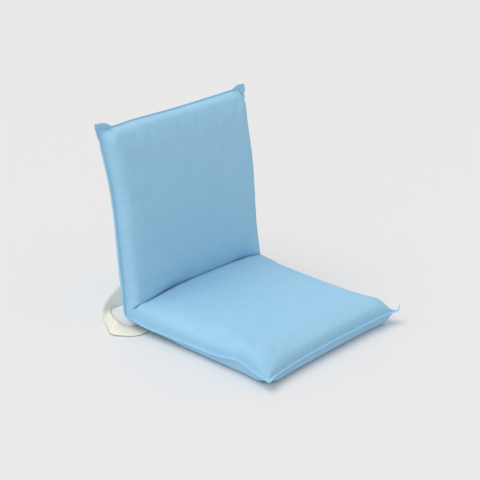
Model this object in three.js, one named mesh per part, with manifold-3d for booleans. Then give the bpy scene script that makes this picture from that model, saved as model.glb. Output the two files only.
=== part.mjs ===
// Folding floor chair: two padded panels on bent steel tube, joined by a ratchet hinge at each side.
// The cover, the foam, the frames, the hinge fittings and the carry strap are separate solids.
// Millimetres, +Z up. The origin is on the floor, under the middle of the seat. The sitter faces -Y.

import * as THREE from 'three';
import { mergeVertices } from 'three/addons/utils/BufferGeometryUtils.js';
import Module from 'manifold-3d';

const wasm = await Module();
wasm.setup();

// Overall sizes
const cover_width = 420;
const seat_length = 410;
const back_length = 420;
const seam_height = 27;
const rest_angle = 97.5;
const folded_angle = 18;

// Pad shape
const cover_crown = 35;
const rear_crown = 30;
const seat_dome = 4;
const back_dome = 2;
const contact_depth = 0.5;
const side_roll = 28;
const seat_rear_side_roll = 50;
const back_rear_side_roll = 30;
const hinge_roll = 30;
const seat_front_roll = 44;
const seat_rear_front_roll = 24;
const back_top_roll = 32;
const seat_side_pull = 14;
const seat_front_pull = 12;
const back_side_pull = 6;
const back_top_pull = 6;
const roll_power = 2.3;
const back_bow = 8;

// Loose front cloth at the fold
const crease_side_height = 28;
const crease_height = 31;
const crease_place = -3.5;
const seat_nose_start = 3;
const back_nose_start = 18;
const back_nose_height = 24;
const back_shoulder_height = 30;

// Cloth, seams and clearances
const cloth = 1;
const seam_flange = 7;
const seam_gap = 0.3;
const fit_gap = 0.3;
const weld_distance = 0.0001;
const panel_start = 20;
const wrap_drop = 1;

// Frame tubes
const tube_radius = 8;
const tube_wall = 1;
const cross_tube_radius = 6;
const frame_inset = 24;
const bend_radius = 45;
const tube_start = 28;
const bow_start = 60;
const seat_cross_place = 200;
const back_cross_places = [130, 260];
const foam_start = 34;

// Hinge fitting
const pivot_rise = 20;
const plate_thickness = 4;
const cheek_thickness = 2;
const hub_radius = 5.5;
const pivot_shank_radius = 2.5;
const pivot_head_radius = 4.5;
const pivot_head_height = 1.6;
const spigot_length = 30;
const spigot_gap = 0.4;
const root_circle_radius = 20;
const tip_circle_radius = 25;
const tooth_angle = 15;
const tooth_count = 5;
const relief_radius = 19.5;
const nose_angle = 105;
const nose_gap = 0.6;
const pawl_length = 22;
const pawl_lift_angle = 15;
const pawl_boss_radius = 4.5;
const pawl_pin_radius = 2;
const pawl_head_radius = 3.5;
const pin_head_height = 1.2;
const spring_pin_radius = 1.2;
const spring_pin_head_radius = 2.4;
const spring_width = 3;
const spring_thickness = 0.6;
const arm_rivet_radius = 2;
const arm_rivet_head_radius = 4;
const arm_rivet_head_height = 1.8;

// Carry strap
const strap_width = 38;
const strap_thickness = 1.5;
const strap_root_inset = 40;
const strap_root_setback = 45;
const strap_loop_length = 160;
const strap_floor_gap = 0.15;

// Counts of facets
const tube_sides = 16;
const bend_steps = 6;
const bow_steps = 8;
const cover_columns = 14;
const cover_rows = 13;
const foam_border = 2;
const fold_row = 2;
const pin_sides = 16;
const arc_steps = 8;
const strap_steps = 60;

// Materials
const blue_cloth = new THREE.MeshStandardMaterial({ color: 0x93c6e4, roughness: 0.72, metalness: 0 });
const foam_stuff = new THREE.MeshStandardMaterial({ color: 0xe9e4cf, roughness: 0.95, metalness: 0 });
const webbing = new THREE.MeshStandardMaterial({ color: 0xe4e1d3, roughness: 0.85, metalness: 0 });
const painted_steel = new THREE.MeshStandardMaterial({ color: 0x55595c, roughness: 0.45, metalness: 0.6 });
const plated_steel = new THREE.MeshStandardMaterial({ color: 0xb4b6b8, roughness: 0.35, metalness: 0.9 });
const spring_steel = new THREE.MeshStandardMaterial({ color: 0x6d7075, roughness: 0.4, metalness: 0.9 });

// Sizes worked out from the ones above
const degree = Math.PI / 180;
const half_opening = rest_angle * degree / 2;
const corner_run = pivot_rise / Math.tan(half_opening);
const half_width = cover_width / 2;
const strap_root_half = half_width - strap_root_inset;
const strap_root_y = seat_length / 2 - strap_root_setback;
const hinge_y = seat_length / 2 - corner_run;
const fold_slope = Math.tan(folded_angle * degree / 2);
const frame_half_width = half_width - seat_side_pull - frame_inset;
const tube_bore_radius = tube_radius - tube_wall;
const spigot_radius = tube_bore_radius - spigot_gap;
const cheek_inner = plate_thickness / 2 + fit_gap;
const cheek_outer = cheek_inner + cheek_thickness;
const foam_base = tube_radius + fit_gap;

const seat_panel = {
  length: seat_length, sidePull: seat_side_pull, endPull: seat_front_pull,
  endRoll: seat_front_roll, dome: seat_dome, bow: 0,
  rearCrown: seam_height + contact_depth, rearLimit: seam_height,
  rearSideRoll: seat_rear_side_roll, rearEndRoll: seat_rear_front_roll,
};
const back_panel = {
  length: back_length, sidePull: back_side_pull, endPull: back_top_pull,
  endRoll: back_top_roll, dome: back_dome, bow: back_bow,
  rearCrown: rear_crown, rearLimit: rear_crown,
  rearSideRoll: back_rear_side_roll, rearEndRoll: back_top_roll,
};

// Closed solids: vertices are merged, faces are turned outwards, and flat slivers are dropped.
function toSolid(geometry) {
  const bare = geometry.clone();
  bare.deleteAttribute('normal');
  bare.deleteAttribute('uv');
  const merged = mergeVertices(bare, weld_distance);
  const vertProperties = new Float32Array(merged.attributes.position.array);
  const corners = merged.index.array;
  const kept = [];
  for (let k = 0; k < corners.length; k += 3) {
    const [a, b, c] = [corners[k], corners[k + 1], corners[k + 2]];
    if (a !== b && b !== c && c !== a) kept.push(a, b, c);
  }
  const solidOf = (indices) => new wasm.Manifold(
    new wasm.Mesh({ numProp: 3, vertProperties, triVerts: new Uint32Array(indices) }));
  const solid = solidOf(kept);
  if (solid.volume() > 0) return solid;
  const turned = [];
  for (let k = 0; k < kept.length; k += 3) turned.push(kept[k], kept[k + 2], kept[k + 1]);
  return solidOf(turned);
}

function named(name, solid, material) {
  const { numProp, vertProperties, triVerts } = solid.getMesh();
  const geometry = new THREE.BufferGeometry();
  const positions = new Float32Array(vertProperties.length / numProp * 3);
  for (let k = 0; k < positions.length / 3; k++) {
    for (let axis = 0; axis < 3; axis++) positions[3 * k + axis] = vertProperties[numProp * k + axis];
  }
  geometry.setAttribute('position', new THREE.BufferAttribute(positions, 3));
  geometry.setIndex(new THREE.BufferAttribute(new Uint32Array(triVerts), 1));
  geometry.computeVertexNormals();
  const mesh = new THREE.Mesh(geometry, material);
  mesh.name = name;
  return mesh;
}

// A slab between two grids of points, upper above lower, closed round its rim.
function slab(columns, rows, upper, lower) {
  const positions = [];
  const indices = [];
  const across = columns + 1;
  const layer = across * (rows + 1);
  for (const surface of [upper, lower]) {
    for (let j = 0; j <= rows; j++) {
      for (let i = 0; i <= columns; i++) positions.push(...surface(i, j));
    }
  }
  const at = (i, j, level) => level * layer + j * across + i;
  for (let j = 0; j < rows; j++) {
    for (let i = 0; i < columns; i++) {
      const square = [at(i, j, 0), at(i + 1, j, 0), at(i + 1, j + 1, 0), at(i, j + 1, 0)];
      const under = square.map((corner) => corner + layer);
      indices.push(square[0], square[1], square[2], square[0], square[2], square[3]);
      indices.push(under[0], under[2], under[1], under[0], under[3], under[2]);
    }
  }
  const rim = [];
  for (let i = 0; i < columns; i++) rim.push([i, 0]);
  for (let j = 0; j < rows; j++) rim.push([columns, j]);
  for (let i = columns; i > 0; i--) rim.push([i, rows]);
  for (let j = rows; j > 0; j--) rim.push([0, j]);
  rim.forEach(([i, j], k) => {
    const [ni, nj] = rim[(k + 1) % rim.length];
    const [a, b, c, d] = [at(i, j, 0), at(i, j, 1), at(ni, nj, 1), at(ni, nj, 0)];
    indices.push(a, b, c, a, c, d);
  });
  const geometry = new THREE.BufferGeometry();
  geometry.setAttribute('position', new THREE.Float32BufferAttribute(positions, 3));
  geometry.setIndex(indices);
  return toSolid(geometry);
}

// A panel's own frame: x across, v away from the hinge, w towards the sitter.
// The seam lies at w = 0, and the hinge pivot is at v = 0, w = pivot_rise.
const clampShare = (value) => Math.min(1, Math.max(0, value));
const quartic = (share) => 1 - share ** 4;

function edgeHalfWidth(panel, v) {
  const share = 2 * clampShare((v + corner_run) / panel.length) - 1;
  return half_width - panel.sidePull * quartic(share);
}

function endEdge(panel, x) {
  return panel.length - corner_run - panel.endPull * quartic(x / half_width);
}

function bowOf(panel, v) {
  const share = clampShare((v - bow_start) / (panel.length - corner_run - bow_start));
  return panel.bow * Math.sin(Math.PI * share) ** 2;
}

// A rounded edge: 0 at the seam, 1 once the pad is full.
function roll(distance, run) {
  const left = 1 - clampShare(distance / run);
  return (1 - left ** roll_power) ** (1 / roll_power);
}

function edgeRoll(panel, x, v, sideRun, endRun) {
  const side = edgeHalfWidth(panel, v) - Math.abs(x) - seam_flange;
  const end = endEdge(panel, x) - v - seam_flange;
  return roll(side, sideRun) * roll(end, endRun);
}

// The front of a pad swells to its crown and dome, above the seam.
function fullFront(panel, x, v) {
  const across = 1 - (x / half_width) ** 2;
  const along = Math.sin(Math.PI * clampShare(v / (panel.length - corner_run))) ** 2;
  return cover_crown + panel.dome * across * along - cloth - seam_gap / 2;
}

// Where a pad is firm it stays under the folded chair's middle plane, so that the pads fold face to face.
function frontRise(panel, x, v) {
  const fold = pivot_rise + v * fold_slope - fit_gap - cloth - seam_gap / 2;
  return Math.min(fullFront(panel, x, v), fold) * edgeRoll(panel, x, v, side_roll, panel.endRoll);
}

function rearRise(panel, x, v) {
  const crown = panel.rearCrown - cloth - seam_gap / 2;
  const full = crown * edgeRoll(panel, x, v, panel.rearSideRoll, panel.rearEndRoll);
  return Math.min(full, panel.rearLimit - cloth - seam_gap / 2);
}

// Grid lines lie close together at the edges, with one line at each side of the seam flange.
function acrossShare(i, columns, flange_share) {
  if (i === 0) return -1;
  if (i === columns) return 1;
  const share = (i - 1) / (columns - 2);
  return -(1 - flange_share) * Math.cos(Math.PI * share);
}

function alongPlace(j, end) {
  if (j === 0) return panel_start;
  if (j === cover_rows) return end;
  const share = (j - 1) / (cover_rows - 2);
  return foam_start + (end - seam_flange - foam_start) * Math.sin(Math.PI / 2 * share);
}

function coverGrid(panel, i, j) {
  const share = acrossShare(i, cover_columns, seam_flange / half_width);
  const v = alongPlace(j, endEdge(panel, share * half_width));
  return [share * edgeHalfWidth(panel, v), v];
}

function coverFront(panel) {
  const surface = (lift) => (i, j) => {
    const [x, v] = coverGrid(panel, i, j);
    return [x, v, bowOf(panel, v) + seam_gap / 2 + frontRise(panel, x, v) + lift];
  };
  const rows = cover_rows - fold_row;
  const shifted = (lift) => (i, j) => surface(lift)(i, j + fold_row);
  return slab(cover_columns, rows, shifted(cloth), shifted(0));
}

function coverRear(panel) {
  const surface = (lift) => (i, j) => {
    const [x, v] = coverGrid(panel, i, j);
    return [x, v, bowOf(panel, v) - seam_gap / 2 - rearRise(panel, x, v) - lift];
  };
  return slab(cover_columns, cover_rows, surface(0), surface(cloth));
}

// Foam sheets lie on the frame, flat against the tubes, and fill the cover on its own grid lines.
function foamSheet(panel, side) {
  const place = (i, j) => coverGrid(panel, i + foam_border, j + 1);
  const outer = (i, j) => {
    const [x, v] = place(i, j);
    const rise = side > 0 ? frontRise(panel, x, v) : rearRise(panel, x, v);
    return [x, v, bowOf(panel, v) + side * (seam_gap / 2 + rise - fit_gap)];
  };
  const inner = (i, j) => {
    const [x, v] = place(i, j);
    return [x, v, bowOf(panel, v) + side * foam_base];
  };
  const columns = cover_columns - 2 * foam_border;
  const rows = cover_rows - 2 - foam_border;
  return side > 0 ? slab(columns, rows, outer, inner) : slab(columns, rows, inner, outer);
}

// A route with a section at every station: few along straight runs, more round the bends.
class StationRoute extends THREE.Curve {
  constructor(stations) {
    super();
    this.stations = stations;
  }

  getPointAt(share) {
    return this.stations[Math.round(share * (this.stations.length - 1))].clone();
  }

  getTangentAt(share) {
    const last = this.stations.length - 1;
    const k = Math.round(share * last);
    const before = this.stations[Math.max(0, k - 1)];
    const after = this.stations[Math.min(last, k + 1)];
    const ahead = after.clone().sub(this.stations[k]).normalize();
    const behind = this.stations[k].clone().sub(before).normalize();
    return ahead.add(behind).normalize();
  }

  getPoint(share) {
    return this.getPointAt(share);
  }
}

function circlePoints(radius, sides) {
  const points = [];
  for (let k = 0; k < sides; k++) {
    const angle = 2 * Math.PI * (k + 0.5) / sides;
    points.push(new THREE.Vector2(radius * Math.cos(angle), radius * Math.sin(angle)));
  }
  return points;
}

function hollowTube(stations, radius) {
  const section = new THREE.Shape(circlePoints(radius, tube_sides));
  section.holes.push(new THREE.Path(circlePoints(radius - tube_wall, tube_sides).reverse()));
  const steps = stations.length - 1;
  const route = new StationRoute(stations);
  return toSolid(new THREE.ExtrudeGeometry(section, { steps, bevelEnabled: false, extrudePath: route }));
}

// The U of a frame: up one side, round two bends, and down the other side.
function frameStations(panel) {
  const far = panel.length - corner_run - panel.endPull - frame_inset;
  const bend_start = far - bend_radius;
  const side = [new THREE.Vector3(frame_half_width, tube_start, 0)];
  const runs = panel.bow > 0 ? bow_steps : 1;
  for (let k = 0; k < runs; k++) {
    const v = tube_start + spigot_length + (bend_start - tube_start - spigot_length) * k / runs;
    side.push(new THREE.Vector3(frame_half_width, v, bowOf(panel, v)));
  }
  for (let k = 0; k <= bend_steps; k++) {
    const angle = Math.PI / 2 * k / bend_steps;
    const x = frame_half_width - bend_radius * (1 - Math.cos(angle));
    const v = bend_start + bend_radius * Math.sin(angle);
    side.push(new THREE.Vector3(x, v, bowOf(panel, v)));
  }
  const mirrored = side.map((point) => new THREE.Vector3(-point.x, point.y, point.z)).reverse();
  return side.concat(mirrored);
}

// A rod along x, such as a rivet hole's cutter or a tube's outside.
function rodAcross(radius, length, place, sides = pin_sides) {
  const rod = new THREE.CylinderGeometry(radius, radius, length, sides);
  rod.rotateZ(Math.PI / 2);
  rod.translate(place.x, place.y, place.z);
  return toSolid(rod);
}

function rodAlong(radius, length, place, sides = tube_sides) {
  const rod = new THREE.CylinderGeometry(radius, radius, length, sides);
  rod.translate(place.x, place.y, place.z);
  return toSolid(rod);
}

function rivetHoles(solid, v, clearRadius) {
  let cut = solid;
  for (const side of [-1, 1]) {
    const place = new THREE.Vector3(side * frame_half_width, v, 0);
    cut = cut.subtract(rodAcross(clearRadius, 4 * tube_radius, place));
  }
  return cut;
}

// A cross tube between the legs, its ends saddled to the round legs.
function crossTube(v, w) {
  const ends = [-frame_half_width, frame_half_width].map((x) => new THREE.Vector3(x, v, w));
  let tube = hollowTube(ends, cross_tube_radius);
  for (const end of ends) {
    tube = tube.subtract(rodAlong(tube_radius + fit_gap, 4 * tube_radius, end));
  }
  return tube;
}

// Plates are outlines in v and w, extruded across x.
const across_basis = new THREE.Matrix4().makeBasis(
  new THREE.Vector3(0, 1, 0), new THREE.Vector3(0, 0, 1), new THREE.Vector3(1, 0, 0));

function plate(outline, holes, low, high) {
  const shape = new THREE.Shape(THREE.ShapeUtils.isClockWise(outline) ? outline.reverse() : outline);
  for (const { centre, radius } of holes) {
    const ring = circlePoints(radius, pin_sides).map((point) => point.add(centre));
    shape.holes.push(new THREE.Path(ring.reverse()));
  }
  const geometry = new THREE.ExtrudeGeometry(shape, { depth: high - low, bevelEnabled: false });
  geometry.applyMatrix4(across_basis);
  geometry.translate(low, 0, 0);
  return toSolid(geometry);
}

const pivot = new THREE.Vector2(0, pivot_rise);
const polar = (radius, angle) => new THREE.Vector2(
  pivot.x + radius * Math.cos(angle * degree), pivot.y + radius * Math.sin(angle * degree));

function arcPoints(radius, from, to) {
  const points = [];
  for (let k = 0; k <= arc_steps; k++) points.push(polar(radius, from + (to - from) * k / arc_steps));
  return points;
}

// The ratchet plate of the seat: a hub, a toothed fan behind and below it, and a tongue to the tube.
// Each tooth has a steep face that stops the back from falling, and a slope that lets it come forward.
const first_tooth_angle = rest_angle + nose_angle - 360;
const tooth_shares = [-0.62, -0.1, 0.28, 0.34];
const tongue_share = 0.95;
const hub_arc = [170, 20];
const relief_arc = [-64, -86];
const fan_margin = 10;
const arm_rivet_place = tube_start + spigot_length / 2;
const spigot_lap = 2;
const tongue_end = tube_start - fit_gap;

function spigot() {
  const length = spigot_length + spigot_lap;
  return rodAlong(spigot_radius, length, new THREE.Vector3(0, tube_start - spigot_lap + length / 2, 0));
}

function drilledArm(solid) {
  const place = new THREE.Vector3(0, arm_rivet_place, 0);
  return solid.subtract(rodAcross(arm_rivet_radius + fit_gap, 4 * spigot_radius, place));
}

function ratchetPlate() {
  const outline = arcPoints(hub_radius, ...hub_arc);
  outline.push(new THREE.Vector2(tongue_end, tongue_share * spigot_radius));
  outline.push(new THREE.Vector2(tongue_end, -tongue_share * spigot_radius));
  outline.push(...arcPoints(relief_radius, ...relief_arc));
  for (let k = tooth_count - 1; k >= 0; k--) {
    const centre = first_tooth_angle + tooth_angle * k;
    const angles = tooth_shares.map((share) => centre + share * tooth_angle);
    const [slopeTop, slopeFoot, faceFoot, faceTop] = angles;
    outline.push(polar(tip_circle_radius, faceTop), polar(root_circle_radius, faceFoot));
    outline.push(polar(root_circle_radius, slopeFoot), polar(tip_circle_radius, slopeTop));
  }
  outline.push(polar(relief_radius, first_tooth_angle - fan_margin));
  const holes = [{ centre: pivot, radius: pivot_shank_radius + fit_gap }];
  const body = plate(outline, holes, -plate_thickness / 2, plate_thickness / 2);
  return drilledArm(body.add(spigot()));
}

// The pawl's nose stands in the tooth gap at a right angle to the line from its pin to its tip.
const nose_place = polar(root_circle_radius + nose_gap, -nose_angle);
const pawl_along = new THREE.Vector2(-Math.sin(nose_angle * degree), -Math.cos(nose_angle * degree));
const pawl_outward = new THREE.Vector2(-pawl_along.y, pawl_along.x);
const pawl_pin_place = nose_place.clone().addScaledVector(pawl_along, -pawl_length);

// A place on the lifted pawl, in its own two directions from the pin.
function onPawl(along, outward) {
  const local = new THREE.Vector2(along, outward).rotateAround(new THREE.Vector2(), pawl_lift_angle * degree);
  return pawl_pin_place.clone().addScaledVector(pawl_along, local.x).addScaledVector(pawl_outward, local.y);
}

const boss_arc = [60, 350];
const pawl_outline_shares = [
  [0.2, 0.03], [0.36, 0.07], [0.66, 0.2], [0.86, 0.23], [1, 0.01], [1.042, 0],
  [1.1, 0.245], [1.138, 0.3], [1.115, 0.47], [0.64, 0.46], [0.14, 0.22],
];

function pawl() {
  const outline = [];
  for (let k = 0; k <= arc_steps; k++) {
    const angle = (boss_arc[0] + (boss_arc[1] - boss_arc[0]) * k / arc_steps) * degree;
    outline.push(onPawl(pawl_boss_radius * Math.cos(angle), pawl_boss_radius * Math.sin(angle)));
  }
  for (const [along, outward] of pawl_outline_shares) {
    outline.push(onPawl(along * pawl_length, outward * pawl_length));
  }
  const holes = [{ centre: pawl_pin_place, radius: pawl_pin_radius + fit_gap }];
  return plate(outline, holes, -plate_thickness / 2, plate_thickness / 2);
}

// Two pressed cheeks on the back hold the hub, the pawl and the spring between them.
const spring_centre_radius = 39;
const spring_pin_angle = -52;
const spring_pin_place = polar(spring_centre_radius, spring_pin_angle);
const cheek_radius = 41;
const cheek_arc = [-54, -98];
const cheek_toe_radius = 27;
const cheek_toe_angle = -116;

function cheek(side) {
  const outline = arcPoints(hub_radius, ...hub_arc);
  outline.push(new THREE.Vector2(tongue_end, tongue_share * spigot_radius));
  outline.push(new THREE.Vector2(tongue_end, spring_pin_place.y));
  outline.push(...arcPoints(cheek_radius, ...cheek_arc));
  outline.push(polar(cheek_toe_radius, cheek_toe_angle));
  const holes = [
    { centre: pivot, radius: pivot_shank_radius + fit_gap },
    { centre: pawl_pin_place, radius: pawl_pin_radius + fit_gap },
    { centre: spring_pin_place, radius: spring_pin_radius + fit_gap },
  ];
  const low = side > 0 ? cheek_inner : -cheek_outer;
  const body = plate(outline, holes, low, low + cheek_thickness);
  const cut = 2 * (spigot_length + spigot_lap);
  const otherHalf = new THREE.BoxGeometry(cut, cut, cut);
  otherHalf.translate(side * (fit_gap - cut) / 2, arm_rivet_place, 0);
  return drilledArm(body.add(spigot().subtract(toSolid(otherHalf))));
}

// A leaf of spring steel, hooked round its own pin, presses on the pawl's back.
const hook_arc = [100, -110];
const leaf_touch_shares = [[0.64, 0.46], [0.95, 0.47]];

function pawlSpring() {
  const hookRadius = spring_pin_radius + fit_gap + spring_thickness / 2;
  const stations = [];
  for (let k = 0; k <= arc_steps; k++) {
    const angle = (hook_arc[0] + (hook_arc[1] - hook_arc[0]) * k / arc_steps) * degree;
    const place = new THREE.Vector2(hookRadius * Math.cos(angle), hookRadius * Math.sin(angle));
    stations.push(place.add(spring_pin_place));
  }
  for (const [along, outward] of leaf_touch_shares) {
    stations.push(onPawl(along * pawl_length, outward * pawl_length + fit_gap + spring_thickness));
  }
  const route = new StationRoute(stations.map((place) => new THREE.Vector3(0, place.x, place.y)));
  const half = new THREE.Vector2(spring_width / 2, spring_thickness / 2);
  const section = new THREE.Shape([
    new THREE.Vector2(-half.x, -half.y), new THREE.Vector2(half.x, -half.y),
    new THREE.Vector2(half.x, half.y), new THREE.Vector2(-half.x, half.y),
  ]);
  const steps = stations.length - 1;
  return toSolid(new THREE.ExtrudeGeometry(section, { steps, bevelEnabled: false, extrudePath: route }));
}

// A headed pin across x, closed over both ends.
function headedPin(shank, head, headHeight, halfLength, place) {
  const end = halfLength + headHeight;
  const profile = [
    new THREE.Vector2(0, -end), new THREE.Vector2(head, -end), new THREE.Vector2(head, -halfLength),
    new THREE.Vector2(shank, -halfLength), new THREE.Vector2(shank, halfLength),
    new THREE.Vector2(head, halfLength), new THREE.Vector2(head, end), new THREE.Vector2(0, end),
  ];
  const pin = new THREE.LatheGeometry(profile, pin_sides);
  pin.rotateZ(Math.PI / 2);
  pin.translate(0, place.x, place.y);
  return toSolid(pin);
}

const stack_half = cheek_outer + fit_gap;
const pivotRivet = () => headedPin(
  pivot_shank_radius, pivot_head_radius, pivot_head_height, stack_half, pivot);
const pawlPin = () => headedPin(
  pawl_pin_radius, pawl_head_radius, pin_head_height, stack_half, pawl_pin_place);
const springPin = () => headedPin(
  spring_pin_radius, spring_pin_head_radius, pin_head_height, stack_half, spring_pin_place);
const armRivet = () => headedPin(arm_rivet_radius, arm_rivet_head_radius, arm_rivet_head_height,
  tube_radius + fit_gap, new THREE.Vector2(arm_rivet_place, 0));

// The two panels' frames in the chair, meeting at the hinge pivot.
const hinge_point = new THREE.Vector3(0, hinge_y, seam_height + pivot_rise);
const seatGroup = new THREE.Group();
seatGroup.rotation.z = Math.PI;
seatGroup.position.set(0, hinge_y, seam_height);
const backGroup = new THREE.Group();
backGroup.rotation.x = Math.PI - rest_angle * degree;
const pivot_offset = new THREE.Vector3(0, 0, pivot_rise).applyEuler(backGroup.rotation);
backGroup.position.copy(hinge_point).sub(pivot_offset);
seatGroup.updateMatrixWorld(true);
backGroup.updateMatrixWorld(true);

// Cloth across the hinge: a strip over the crease in front, and a wrap round the outside behind.
function bridgeColumn(i) {
  return acrossShare(i, cover_columns, seam_flange / half_width);
}

function panelPoint(panel, group, share, v, w) {
  const x = group === seatGroup ? -share : share;
  return new THREE.Vector3(x * edgeHalfWidth(panel, v), v, w).applyMatrix4(group.matrixWorld);
}

const bridge_edge = panel_start - fit_gap;

// The front cloth at the fold is loose enough to crumple: it runs from the firm part of one pad over
// that pad's nose, down into the fold and out again. The fold stands back and up between the hinges.
const crease_rows = 6;
const crease_middle_share = 0.82;
const crease_blend_share = 0.12;

function foldPoint(share, lift) {
  const middle = clampShare((crease_middle_share - Math.abs(share)) / crease_blend_share);
  const sidePlace = crease_side_height / Math.tan(half_opening) - corner_run;
  const place = sidePlace + (crease_place - sidePlace) * middle;
  const height = crease_side_height + (crease_height - crease_side_height) * middle - cloth;
  const side = edgeHalfWidth(seat_panel, 0) * (1 - Math.abs(share)) - seam_flange;
  const rise = roll(side, hinge_roll);
  const v = (place + corner_run) * rise - corner_run + lift * Math.cos(half_opening);
  const w = height * rise + seam_gap / 2 + lift;
  return panelPoint(seat_panel, seatGroup, share, v, w).toArray();
}

function creasePoint(i, j, lift) {
  const share = bridgeColumn(i);
  if (j === crease_rows / 2) return foldPoint(share, lift);
  const onSeat = j < crease_rows / 2;
  const [panel, group] = onSeat ? [seat_panel, seatGroup] : [back_panel, backGroup];
  const line = onSeat ? j : crease_rows - j;
  const firm = alongPlace(fold_row, endEdge(panel, share * half_width));
  const v = [firm - fit_gap, foam_start, onSeat ? seat_nose_start : back_nose_start][line];
  const x = share * edgeHalfWidth(panel, v);
  const rolled = edgeRoll(panel, x, v, side_roll, panel.endRoll);
  const nose = onSeat ? cover_crown : back_nose_height;
  const shoulder = onSeat ? cover_crown : back_shoulder_height;
  const edge = frontRise(panel, share * edgeHalfWidth(panel, firm), firm);
  const rise = [edge, (shoulder - cloth) * rolled, (nose - cloth) * rolled][line];
  return panelPoint(panel, group, share, v, bowOf(panel, v) + seam_gap / 2 + rise + lift).toArray();
}

const coverCrease = () => slab(cover_columns, crease_rows,
  (i, j) => creasePoint(i, j, cloth), (i, j) => creasePoint(i, j, 0));

const wrap_steps = 5;
const wrap_rows = wrap_steps + 2;

function wrapRadius(side) {
  return seam_gap / 2 + (seam_height - wrap_drop - cloth - seam_gap / 2) * roll(side, seat_rear_side_roll);
}

function wrapPoint(i, j, lift) {
  const share = bridgeColumn(i);
  if (j === 0 || j === wrap_rows) {
    const [panel, group] = j === 0 ? [seat_panel, seatGroup] : [back_panel, backGroup];
    const x = share * edgeHalfWidth(panel, bridge_edge);
    const rise = Math.min(rearRise(panel, x, bridge_edge), panel.rearLimit - wrap_drop - cloth);
    return panelPoint(panel, group, share, bridge_edge, -seam_gap / 2 - rise - lift).toArray();
  }
  const halfWidth = edgeHalfWidth(seat_panel, -corner_run);
  const side = halfWidth * (1 - Math.abs(share)) - seam_flange;
  const radius = wrapRadius(side) + lift;
  const angle = (j - 1) / wrap_steps * (Math.PI - rest_angle * degree);
  const y = hinge_y + corner_run + radius * Math.sin(angle);
  return [share * halfWidth, y, seam_height - radius * Math.cos(angle)];
}

const coverWrap = () => slab(cover_columns, wrap_rows,
  (i, j) => wrapPoint(i, j, 0), (i, j) => wrapPoint(i, j, cloth));

// The carry strap: webbing with one end sewn under each rear corner of the seat. It lies flat there,
// turns up on its edge, and stands on the floor in a loop behind the back.
// Each row: place across, place behind the root, height, and degrees turned up from flat.
const strap_route_shares = [
  [1, 0, 1, 0], [1.087, 0, 0.85, 1], [1.2, 0.004, 0.35, 4], [1.315, 0.075, 0, 10], [1.395, 0.194, 0, 22],
  [1.424, 0.288, 0, 42], [1.405, 0.42, 0, 62], [1.325, 0.6, 0, 74], [1.2, 0.79, 0, 76],
  [1.066, 0.93, 0, 76], [0.932, 0.995, 0, 80], [0.8, 0.985, 0, 86], [0.636, 0.93, 0, 90],
  [0.412, 0.856, 0, 91], [0.176, 0.819, 0, 90], [0, 0.813, 0, 90],
];

function strapRootHeight() {
  const side = edgeHalfWidth(seat_panel, -corner_run) - strap_root_half - seam_flange;
  return seam_height - wrapRadius(side) - cloth - fit_gap - strap_thickness / 2;
}

function strapCurves() {
  const low = strap_floor_gap + strap_thickness / 2;
  const drop = strapRootHeight() - low;
  const oneSide = strap_route_shares.map(([across, behind, height, turn]) => ({
    place: new THREE.Vector3(
      -across * strap_root_half, strap_root_y + behind * strap_loop_length, low + height * drop),
    turn,
  }));
  const otherSide = oneSide.slice(0, -1).reverse().map(({ place, turn }) => ({
    place: new THREE.Vector3(-place.x, place.y, place.z), turn,
  }));
  const all = oneSide.concat(otherSide);
  return {
    places: new THREE.CatmullRomCurve3(all.map(({ place }) => place)),
    turns: new THREE.CatmullRomCurve3(all.map(({ turn }) => new THREE.Vector3(turn, 0, 0))),
  };
}

function carryStrap() {
  const { places, turns } = strapCurves();
  const surface = (side) => (i, j) => {
    const share = i / strap_steps;
    const edge = places.getPoint(share);
    const along = places.getTangent(share).setZ(0).normalize();
    const inward = new THREE.Vector3(along.y, -along.x, 0);
    const turn = turns.getPoint(share).x * degree;
    const up = new THREE.Vector3(0, 0, 1);
    const width = inward.clone().multiplyScalar(Math.cos(turn)).addScaledVector(up, Math.sin(turn));
    const face = up.multiplyScalar(Math.cos(turn)).addScaledVector(inward, -Math.sin(turn));
    edge.addScaledVector(width, j * strap_width);
    return edge.addScaledVector(face, side * strap_thickness / 2).toArray();
  };
  return slab(strap_steps, 1, surface(1), surface(-1));
}

// Assembly
const put = (mesh, group, x = 0) => {
  mesh.position.x = x;
  group.add(mesh);
};

put(named('seat_frame_tube', rivetHoles(hollowTube(frameStations(seat_panel), tube_radius),
  arm_rivet_place, arm_rivet_radius + fit_gap), painted_steel), seatGroup);
put(named('seat_cross_tube', crossTube(seat_cross_place, 0), painted_steel), seatGroup);
put(named('back_frame_tube', rivetHoles(hollowTube(frameStations(back_panel), tube_radius),
  arm_rivet_place, arm_rivet_radius + fit_gap), painted_steel), backGroup);
back_cross_places.forEach((v, k) => {
  const name = ['back_cross_tube_lower', 'back_cross_tube_upper'][k];
  put(named(name, crossTube(v, bowOf(back_panel, v)), painted_steel), backGroup);
});

put(named('seat_foam_top', foamSheet(seat_panel, 1), foam_stuff), seatGroup);
put(named('seat_foam_base', foamSheet(seat_panel, -1), foam_stuff), seatGroup);
put(named('back_foam_front', foamSheet(back_panel, 1), foam_stuff), backGroup);
put(named('back_foam_rear', foamSheet(back_panel, -1), foam_stuff), backGroup);
put(named('seat_cover_top', coverFront(seat_panel), blue_cloth), seatGroup);
put(named('seat_cover_underside', coverRear(seat_panel), blue_cloth), seatGroup);
put(named('back_cover_front', coverFront(back_panel), blue_cloth), backGroup);
put(named('back_cover_rear', coverRear(back_panel), blue_cloth), backGroup);

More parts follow.
